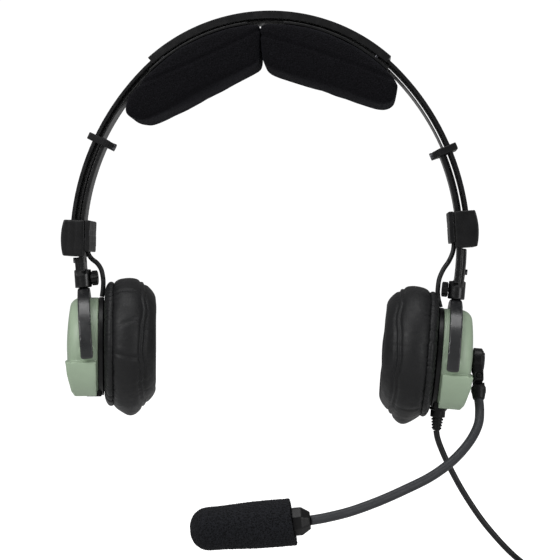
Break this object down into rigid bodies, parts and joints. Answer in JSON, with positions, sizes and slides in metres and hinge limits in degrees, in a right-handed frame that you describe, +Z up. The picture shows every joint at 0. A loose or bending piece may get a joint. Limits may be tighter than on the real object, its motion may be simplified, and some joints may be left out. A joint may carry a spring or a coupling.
{
  "type": "aviation headset",
  "caption": "Lightweight aviation headset with a padded twin-leaf headband, sliding arms, swivelling green ear cups, a flexible microphone boom and a coiled lead.",
  "frame": {"origin": "the crown of the wearer's head, under the two crown pads, on the band's own middle plane", "axes": "+Z up, +X towards the wearer's left ear (the boom side), -Y forwards from the face"},
  "size_m": [0.279, 0.1162, 0.2905],
  "materials": {
    "dome_green": "matte moulded sage green",
    "black_satin": "satin moulded black",
    "band_gloss": "glossy black enamel",
    "stirrup_black": "satin black powder coat",
    "pad_knit": "black knit over foam",
    "cushion_leather": "soft black leatherette",
    "muff_foam": "black open-cell foam",
    "damping_foam": "grey damping foam",
    "boom_jacket": "satin dark grey sleeve",
    "cord_rubber": "satin black jacket",
    "dark_steel": "dark steel",
    "driver_steel": "bare metal",
    "board_green": "coated circuit board",
    "plug_nickel": "nickel plate"
  },
  "bodies": {
    "headband": {"headband_spring": "band_gloss", "headband_cover": "band_gloss", "cover_screws": "dark_steel", "inner_strap": "band_gloss", "crossover_lead": "cord_rubber", "left_pad": "pad_knit", "right_pad": "pad_knit", "left_pad_plate": "black_satin", "right_pad_plate": "black_satin", "left_buckle_outer": "black_satin", "left_buckle_inner": "black_satin", "right_buckle_outer": "black_satin", "right_buckle_inner": "black_satin", "buckle_screws": "dark_steel"},
    "left_arm": {"left_slide_arm": "band_gloss", "left_guide_clip": "black_satin", "left_arm_pins": "dark_steel", "left_friction_knob": "black_satin"},
    "right_arm": {"right_slide_arm": "band_gloss", "right_guide_clip": "black_satin", "right_arm_pins": "dark_steel", "right_friction_knob": "black_satin"},
    "left_stirrup_frame": {"left_stirrup": "stirrup_black", "left_wire": "cord_rubber"},
    "right_stirrup_frame": {"right_stirrup": "stirrup_black", "right_wire": "cord_rubber"},
    "left_cup": {"left_ear_dome": "dome_green", "left_baffle": "black_satin", "left_cushion_plate": "black_satin", "left_ear_cushion": "cushion_leather", "left_speaker": "driver_steel", "left_speaker_grille": "black_satin", "left_dome_foam": "damping_foam", "left_pivot_pins": "dark_steel", "left_cable_plate": "black_satin"},
    "right_cup": {"right_ear_dome": "dome_green", "right_baffle": "black_satin", "right_cushion_plate": "black_satin", "right_ear_cushion": "cushion_leather", "right_speaker": "driver_steel", "right_speaker_grille": "black_satin", "right_dome_foam": "damping_foam", "right_pivot_pins": "dark_steel", "right_cable_plate": "black_satin", "right_terminal_board": "board_green", "cord_socket": "black_satin", "boom_hub_screw": "dark_steel", "strain_relief": "black_satin", "cord_run": "cord_rubber", "cord_coil": "cord_rubber", "cord_tie": "cord_rubber", "cord_tail": "cord_rubber", "plug_barrel": "black_satin", "plug_contacts": "plug_nickel"},
    "boom_turret": {"boom_hub": "black_satin"},
    "boom": {"boom_elbow": "black_satin", "boom_gooseneck": "boom_jacket", "mic_housing": "black_satin", "mic_capsule": "driver_steel", "mic_muff": "muff_foam"}
  },
  "joints": [
    {"name": "left_height", "type": "hinge", "parent": "headband", "child": "left_arm", "pos_m": [0.02546, 0, -0.08376], "axis": [0, -1, 0], "range_deg": [0, 14]},
    {"name": "left_swivel", "type": "hinge", "parent": "left_arm", "child": "left_stirrup_frame", "pos_m": [-0.09149, 0, -0.13624], "axis": [-0.0698, 0, 0.9976], "range_deg": [-22, 8]},
    {"name": "left_tilt", "type": "hinge", "parent": "left_stirrup_frame", "child": "left_cup", "pos_m": [-0.09149, 0, -0.13624], "axis": [0.1216, -0.9925, 0.0085], "range_deg": [-8, 6], "deforming": ["left_wire"]},
    {"name": "right_height", "type": "hinge", "parent": "headband", "child": "right_arm", "pos_m": [-0.02546, 0, -0.08376], "axis": [0, 1, 0], "range_deg": [0, 9]},
    {"name": "right_swivel", "type": "hinge", "parent": "right_arm", "child": "right_stirrup_frame", "pos_m": [0.08991, 0, -0.14201], "axis": [0.0872, 0, 0.9962], "range_deg": [-15, 15]},
    {"name": "right_tilt", "type": "hinge", "parent": "right_stirrup_frame", "child": "right_cup", "pos_m": [0.08991, 0, -0.14201], "axis": [0, 1, 0], "range_deg": [-8, 2.5], "deforming": ["right_wire"]},
    {"name": "boom_rotate", "type": "hinge", "parent": "right_cup", "child": "boom_turret", "pos_m": [0.10353, 0, -0.14119], "axis": [-0.9962, 0, 0.0872], "range_deg": [-10, 105]},
    {"name": "boom_swing", "type": "hinge", "parent": "boom_turret", "child": "boom", "pos_m": [0.10353, -0.00308, -0.14965], "axis": [0, -0.9397, 0.342], "range_deg": [-3, 20]}
  ]
}
